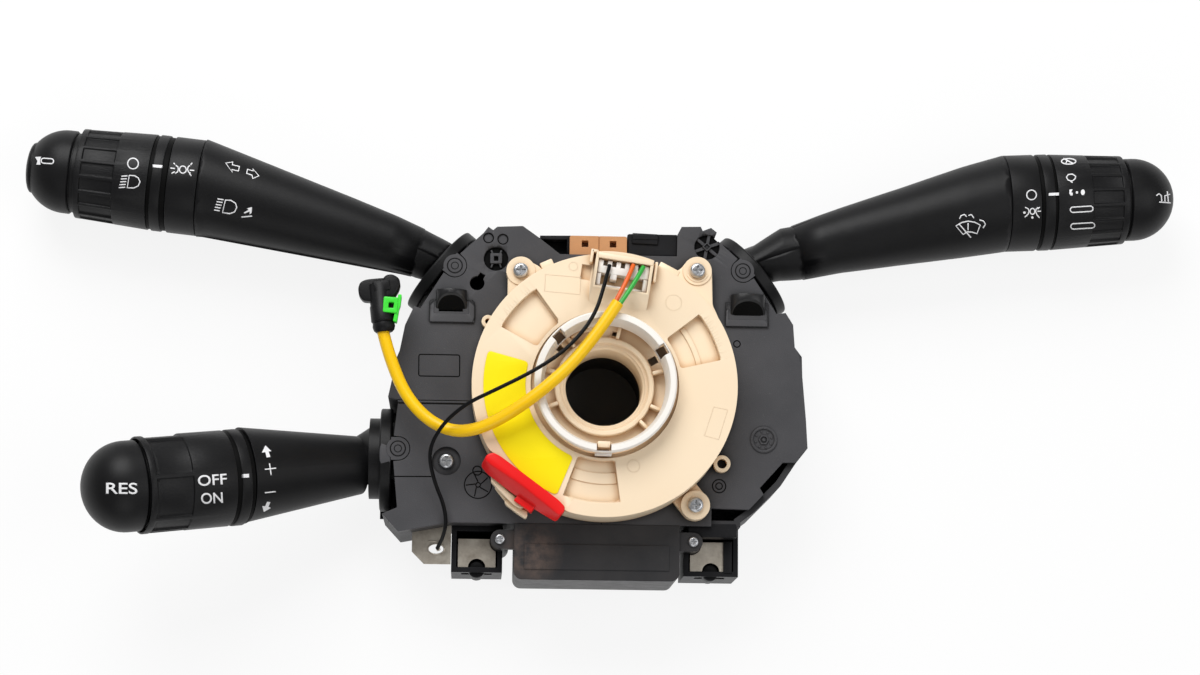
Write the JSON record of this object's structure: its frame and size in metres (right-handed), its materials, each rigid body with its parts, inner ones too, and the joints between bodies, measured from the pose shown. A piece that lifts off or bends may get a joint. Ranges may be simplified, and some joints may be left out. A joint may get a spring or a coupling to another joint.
{
  "type": "combination stalk switch",
  "caption": "Steering column switch with light, wiper and cruise stalks that swing, each with a rotary knob and end button, and a clock spring with air-bag lead.",
  "frame": {"origin": "on the steering column axis, at the back plane that the housing rests on", "axes": "+Z along the column axis towards the driver, +X to the right as the driver sees it, where the wiper stalk is, and +Y upwards, towards the stalk pivots"},
  "size_m": [0.462, 0.1799, 0.0747],
  "materials": {
    "housing_plastic": "fine spark-eroded texture",
    "stalk_plastic": "fine grain, dull",
    "cream_plastic": "smooth moulding",
    "white_plastic": "smooth moulding",
    "red_plastic": "smooth moulding",
    "green_plastic": "smooth moulding",
    "brown_plastic": "smooth moulding",
    "yellow_sleeve": "smooth cable jacket",
    "black_sleeve": "smooth wire insulation",
    "orange_sleeve": "smooth wire insulation",
    "green_sleeve": "smooth wire insulation",
    "yellow_paper": "printed film, bare",
    "zinc_steel": "zinc plated",
    "nickel_sheet": "bright stamped sheet",
    "spring_steel": "drawn wire",
    "board": "solder mask",
    "ribbon": "polyimide film"
  },
  "bodies": {
    "housing_assembly": {"back_plate": "housing_plastic", "bottom_cover": "housing_plastic", "circuit_board": "board", "clockspring_base": "cream_plastic", "clockspring_screws": "zinc_steel", "column_connector": "brown_plastic", "connector_lid": "housing_plastic", "connector_pins": "nickel_sheet", "cover_screws": "zinc_steel", "cruise_module_cover": "housing_plastic", "ground_plate": "nickel_sheet", "housing": "housing_plastic", "left_module_cover": "housing_plastic", "left_terminal_box": "housing_plastic", "rear_connector_socket": "housing_plastic", "right_module_cover": "housing_plastic", "right_terminal_box": "housing_plastic", "terminal_clips": "nickel_sheet"},
    "clockspring_rotor": {"airbag_lead": "yellow_sleeve", "blank_label": "yellow_paper", "green_wire": "green_sleeve", "ground_wire": "black_sleeve", "orange_wire": "orange_sleeve", "retaining_ring": "white_plastic", "ribbon_cable": "ribbon", "rotor_disc": "cream_plastic", "rotor_hub": "cream_plastic", "rotor_plug": "white_plastic", "squib_connector": "stalk_plastic", "squib_lock": "green_plastic", "transport_lock": "red_plastic"},
    "left_yoke_body": {"left_yoke": "stalk_plastic", "left_cross_pin": "zinc_steel", "left_detent_spring": "spring_steel"},
    "left_lever_body": {"left_lever": "stalk_plastic", "left_index_ring": "stalk_plastic", "left_button_spring": "spring_steel"},
    "left_knob_body": {"left_knob": "stalk_plastic"},
    "left_ring_body": {"left_inner_ring": "stalk_plastic"},
    "left_button_body": {"left_end_button": "stalk_plastic"},
    "left_plunger_body": {"left_detent_plunger": "zinc_steel"},
    "right_yoke_body": {"right_yoke": "stalk_plastic", "right_cross_pin": "zinc_steel", "right_detent_spring": "spring_steel"},
    "right_lever_body": {"right_lever": "stalk_plastic", "right_index_ring": "stalk_plastic", "right_button_spring": "spring_steel"},
    "right_knob_body": {"right_knob": "stalk_plastic"},
    "right_ring_body": {"right_inner_ring": "stalk_plastic"},
    "right_button_body": {"right_end_button": "stalk_plastic"},
    "right_plunger_body": {"right_detent_plunger": "zinc_steel"},
    "cruise_yoke_body": {"cruise_yoke": "stalk_plastic", "cruise_cross_pin": "zinc_steel", "cruise_detent_spring": "spring_steel", "cruise_lever": "stalk_plastic", "cruise_index_ring": "stalk_plastic", "cruise_button_spring": "spring_steel"},
    "cruise_knob_body": {"cruise_knob": "stalk_plastic"},
    "cruise_button_body": {"cruise_end_button": "stalk_plastic"},
    "cruise_plunger_body": {"cruise_detent_plunger": "zinc_steel"}
  },
  "joints": [
    {"name": "clockspring_turn", "type": "hinge", "parent": "housing_assembly", "child": "clockspring_rotor", "pos_m": [0, 0, 0], "axis": [0, 0, 1], "range_deg": [-720, 720], "deforming": ["ground_wire"]},
    {"name": "turn_signal_swing", "type": "hinge", "parent": "housing_assembly", "child": "left_yoke_body", "pos_m": [-0.059, 0.0494, 0.0205], "axis": [0, 0, 1], "range_deg": [-8, 8]},
    {"name": "high_beam_pull", "type": "hinge", "parent": "left_yoke_body", "child": "left_lever_body", "pos_m": [-0.059, 0.0494, 0.0205], "axis": [0.6334, 0.7738, 0], "range_deg": [0, 5], "stiffness_Nm_per_rad": 6, "springref_deg": -3.44},
    {"name": "light_knob", "type": "hinge", "parent": "left_lever_body", "child": "left_knob_body", "pos_m": [-0.16134, 0.08286, 0.0205], "axis": [-0.9945, 0.1045, 0], "range_deg": [0, 60]},
    {"name": "fog_ring", "type": "hinge", "parent": "left_lever_body", "child": "left_ring_body", "pos_m": [-0.16134, 0.08286, 0.0205], "axis": [-0.9945, 0.1045, 0], "range_deg": [-20, 40]},
    {"name": "horn_button", "type": "slide", "parent": "left_lever_body", "child": "left_button_body", "axis": [0.9945, -0.1045, 0], "range_m": [0, 0.002], "stiffness_N_per_m": 800, "springref_m": -0.001, "deforming": ["left_button_spring"]},
    {"name": "left_detent", "type": "slide", "parent": "left_yoke_body", "child": "left_plunger_body", "axis": [-0.7738, 0.6334, 0], "range_m": [0, 0.001], "stiffness_N_per_m": 1500, "springref_m": -0.0005, "deforming": ["left_detent_spring"]},
    {"name": "wiper_swing", "type": "hinge", "parent": "housing_assembly", "child": "right_yoke_body", "pos_m": [0.0551, 0.0494, 0.0205], "axis": [0, 0, 1], "range_deg": [-8, 8]},
    {"name": "washer_pull", "type": "hinge", "parent": "right_yoke_body", "child": "right_lever_body", "pos_m": [0.0551, 0.0494, 0.0205], "axis": [0.6441, -0.7649, 0], "range_deg": [0, 5], "stiffness_Nm_per_rad": 6, "springref_deg": -3.44},
    {"name": "wiper_knob", "type": "hinge", "parent": "right_lever_body", "child": "right_knob_body", "pos_m": [0.16341, 0.0837, 0.0205], "axis": [0.9986, 0.0523, 0], "range_deg": [-20, 80]},
    {"name": "rear_wiper_ring", "type": "hinge", "parent": "right_lever_body", "child": "right_ring_body", "pos_m": [0.16341, 0.0837, 0.0205], "axis": [0.9986, 0.0523, 0], "range_deg": [-20, 40]},
    {"name": "trip_button", "type": "slide", "parent": "right_lever_body", "child": "right_button_body", "axis": [-0.9986, -0.0523, 0], "range_m": [0, 0.002], "stiffness_N_per_m": 800, "springref_m": -0.001, "deforming": ["right_button_spring"]},
    {"name": "right_detent", "type": "slide", "parent": "right_yoke_body", "child": "right_plunger_body", "axis": [0.7649, 0.6441, 0], "range_m": [0, 0.001], "stiffness_N_per_m": 1500, "springref_m": -0.0005, "deforming": ["right_detent_spring"]},
    {"name": "cruise_speed_swing", "type": "hinge", "parent": "housing_assembly", "child": "cruise_yoke_body", "pos_m": [-0.0798, -0.0238, 0.0215], "axis": [0, 0, 1], "range_deg": [-6, 6], "stiffness_Nm_per_rad": 4},
    {"name": "cruise_knob", "type": "hinge", "parent": "cruise_yoke_body", "child": "cruise_knob_body", "pos_m": [-0.14024, -0.03488, 0.03967], "axis": [-0.9163, -0.1418, 0.3746], "range_deg": [0, 30]},
    {"name": "resume_button", "type": "slide", "parent": "cruise_yoke_body", "child": "cruise_button_body", "axis": [0.9163, 0.1418, -0.3746], "range_m": [0, 0.002], "stiffness_N_per_m": 800, "springref_m": -0.001, "deforming": ["cruise_button_spring"]},
    {"name": "cruise_detent", "type": "slide", "parent": "cruise_yoke_body", "child": "cruise_plunger_body", "axis": [-1, 0, 0], "range_m": [0, 0.001], "stiffness_N_per_m": 1500, "springref_m": -0.0005, "deforming": ["cruise_detent_spring"]}
  ]
}
